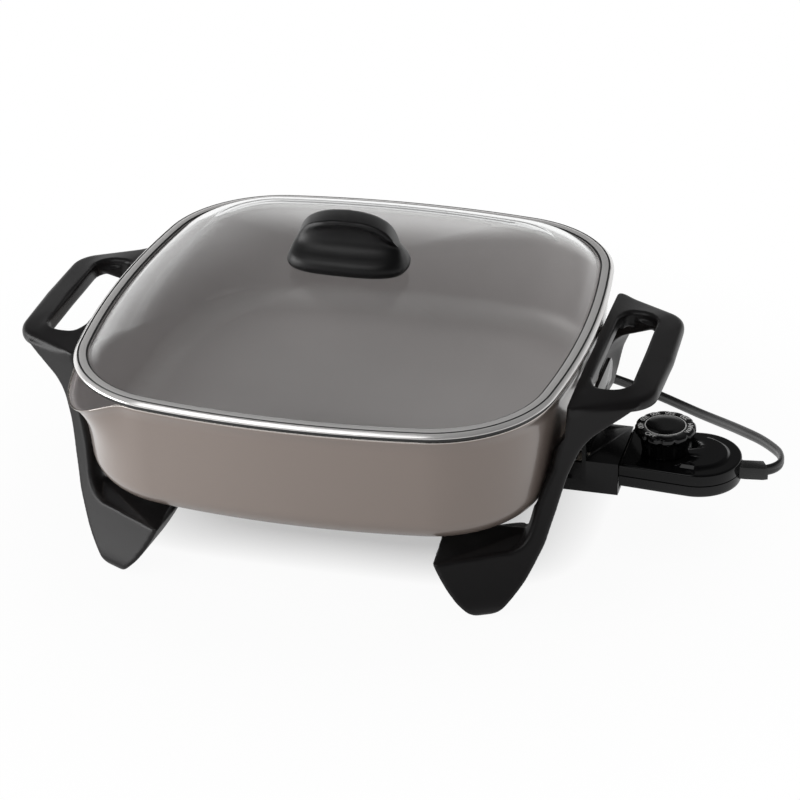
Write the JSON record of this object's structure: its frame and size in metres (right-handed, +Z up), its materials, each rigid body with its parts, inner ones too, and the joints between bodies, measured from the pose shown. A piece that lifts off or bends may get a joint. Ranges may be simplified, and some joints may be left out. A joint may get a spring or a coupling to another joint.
{
  "type": "electric skillet",
  "caption": "Square electric skillet with a deep pouring-spout pan, lift-off glass lid, looped side handles with legs, and a plug-in heat control with a dial and cord.",
  "frame": {"origin": "on the table, at the middle of the footprint of the skillet with its heat control plugged in, without the free cord", "axes": "+Z up; +X from the pan towards the heat control, along the longest side; +Y to the back"},
  "size_m": [0.4707, 0.4193, 0.1897],
  "materials": {
    "pan_coating": "satin metallic champagne-bronze coating outside, glossy warm grey ceramic inside",
    "element_steel": "dull heat-darkened sheath",
    "ceramic": "matt white ceramic",
    "bright_steel": "plain bright steel",
    "cast_aluminium": "as-cast satin",
    "black_phenolic": "satin black phenolic",
    "handle_plastic": "matt black with a fine moulded grain",
    "lid_glass": "clear tempered glass",
    "polished_steel": "polished stainless steel",
    "knob_plastic": "matt black phenolic",
    "brass": "plain brass",
    "seal_rubber": "matt black silicone",
    "control_plastic": "glossy black",
    "lead_insulation": "white glass-fibre sleeve",
    "cord_rubber": "satin black cord jacket",
    "dial_plastic": "glossy black with printed white numbers",
    "cord_tie": "matt black"
  },
  "bodies": {
    "skillet": {"pan": "pan_coating", "heating_element": "element_steel", "terminal_insulators": "ceramic", "terminal_pins": "bright_steel", "probe_socket": "cast_aluminium", "terminal_guard": "black_phenolic", "guard_screws": "bright_steel", "left_handle": "handle_plastic", "right_handle": "handle_plastic", "leg_screws": "bright_steel"},
    "lid": {"lid_glass": "lid_glass", "lid_band": "polished_steel", "lid_knob": "knob_plastic", "knob_insert": "brass", "knob_washers": "seal_rubber", "knob_screw": "bright_steel"},
    "heat_control": {"control_upper_housing": "control_plastic", "control_lower_housing": "control_plastic", "housing_screws": "bright_steel", "terminal_block": "black_phenolic", "socket_tabs": "brass", "sensing_probe": "bright_steel", "thermostat_frame": "bright_steel", "stack_spacers": "ceramic", "lower_blade": "brass", "upper_blade": "brass", "contact_rivets": "bright_steel", "stack_rivet": "bright_steel", "mains_leads": "lead_insulation", "strain_relief": "cord_rubber", "cord": "cord_rubber", "cord_coil": "cord_rubber", "cord_tail": "cord_rubber", "cord_tie": "cord_tie", "plug_body": "cord_rubber", "plug_blades": "brass"},
    "dial": {"control_dial": "dial_plastic", "dial_spindle": "bright_steel"}
  },
  "joints": [
    {"name": "lid_lift", "type": "slide", "parent": "skillet", "child": "lid", "axis": [0, 0, 1], "range_m": [0, 0.15]},
    {"name": "heat_control_unplug", "type": "slide", "parent": "skillet", "child": "heat_control", "axis": [1, 0, 0], "range_m": [0, 0.1]},
    {"name": "dial_turn", "type": "hinge", "parent": "heat_control", "child": "dial", "pos_m": [0.16794, 0, 0.06], "axis": [0, 0, 1], "range_deg": [0, 320]}
  ]
}
